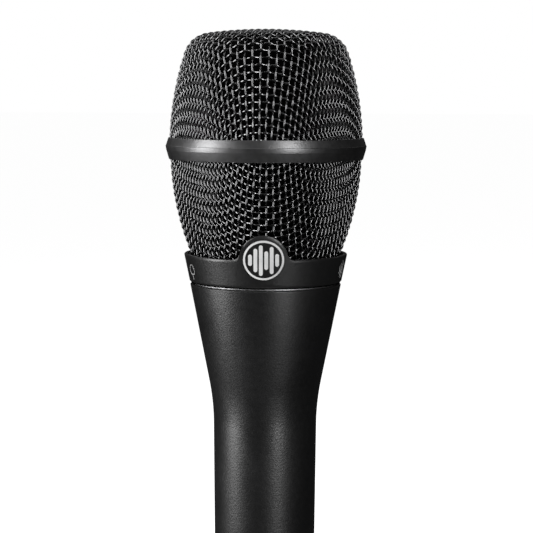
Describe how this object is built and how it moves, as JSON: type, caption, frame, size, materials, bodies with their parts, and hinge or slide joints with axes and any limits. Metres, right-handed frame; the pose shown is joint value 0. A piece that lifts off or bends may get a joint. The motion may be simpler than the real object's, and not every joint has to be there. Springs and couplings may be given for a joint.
{
  "type": "dynamic microphone",
  "caption": "Hand-held moving-coil microphone: tapered handle with plug socket, flared collar with arched badge, screw-on woven wire grille with a band, sprung capsule inside.",
  "frame": {"origin": "centre of the handle's end rim, in the plane that it stands on", "axes": "+Z along the microphone's axis, from the plug socket to the grille; the badge faces -Y"},
  "size_m": [0.05, 0.05, 0.1904],
  "materials": {
    "satin_black_paint": "satin powder coat, fine grain",
    "collar_paint": "satin",
    "nickel_shell": "satin nickel plate",
    "black_insulator": "moulded",
    "gold_contact": "gold flash",
    "spring_bronze": "plain",
    "black_steel": "black oxide",
    "red_lead": "insulated wire",
    "tan_lead": "insulated wire",
    "cast_ring": "as cast",
    "badge_metal": "fine brushed",
    "cradle_plastic": "moulded",
    "soft_rubber": "matt",
    "capsule_plastic": "moulded",
    "screen_cloth": "woven",
    "clamp_brass": "satin",
    "diaphragm_film": "thin film",
    "carrier_plastic": "moulded",
    "yoke_steel": "zinc plate",
    "magnet_plate": "nickel plate",
    "felt": "felt",
    "circuit_board": "solder mask",
    "coil_copper": "enamelled wire",
    "foam": "open-cell foam",
    "wire_black": "black-coated wire",
    "band_paint": "satin dark grey",
    "inner_ring_steel": "plain"
  },
  "bodies": {
    "handle": {"handle_tube": "satin_black_paint", "connector_shell": "nickel_shell", "connector_insulator": "black_insulator", "contact_pin_1": "gold_contact", "contact_pin_2": "gold_contact", "contact_pin_3": "gold_contact", "ground_washer": "spring_bronze", "connector_screw": "black_steel", "signal_lead_hot": "red_lead", "signal_lead_cold": "tan_lead", "head_ring": "cast_ring", "collar": "collar_paint", "collar_screws": "black_steel", "badge_medallion": "badge_metal", "capsule_cradle": "cradle_plastic", "shock_ring_lower": "soft_rubber", "shock_ring_upper": "soft_rubber"},
    "capsule": {"capsule_housing": "capsule_plastic", "capsule_front_cap": "capsule_plastic", "front_screen": "screen_cloth", "clamp_ring": "clamp_brass", "diaphragm_surround": "diaphragm_film", "magnet_carrier": "carrier_plastic", "yoke_cup": "yoke_steel", "magnet": "magnet_plate", "pole_piece": "yoke_steel", "port_felt": "felt", "terminal_board": "circuit_board", "solder_terminals": "gold_contact"},
    "diaphragm": {"diaphragm_dome": "diaphragm_film", "voice_coil": "coil_copper"},
    "dome_liner": {"dome_foam": "foam"},
    "skirt_liner": {"skirt_foam": "foam"},
    "grille": {"grille_dome": "wire_black", "grille_band": "band_paint", "band_inner_ring": "inner_ring_steel", "grille_skirt": "wire_black", "grille_base_ring": "black_steel"}
  },
  "joints": [
    {"name": "capsule_float", "type": "slide", "parent": "handle", "child": "capsule", "axis": [0, 0, 1], "range_m": [-0.0008, 0.0008], "stiffness_N_per_m": 4000, "springref_m": 0.0001, "deforming": ["shock_ring_lower", "shock_ring_upper", "signal_lead_hot", "signal_lead_cold"]},
    {"name": "diaphragm_travel", "type": "slide", "parent": "capsule", "child": "diaphragm", "axis": [0, 0, 1], "range_m": [-0.0003, 0.0003], "stiffness_N_per_m": 300, "deforming": ["diaphragm_surround"]},
    {"name": "lift_off", "type": "slide", "parent": "handle", "child": "dome_liner", "axis": [0, 0, 1], "range_m": [0, 0.055]},
    {"name": "thread_lift", "type": "slide", "parent": "dome_liner", "child": "skirt_liner", "axis": [0, 0, 1], "range_m": [0, 0.003]},
    {"name": "grille_turn", "type": "hinge", "parent": "skirt_liner", "child": "grille", "pos_m": [0, 0, 0.132], "axis": [0, 0, 1], "range_deg": [0, 1080]}
  ],
  "couplings": [
    {"joint": "thread_lift", "follows": "grille_turn", "m_per_rad": 0.00015915}
  ]
}
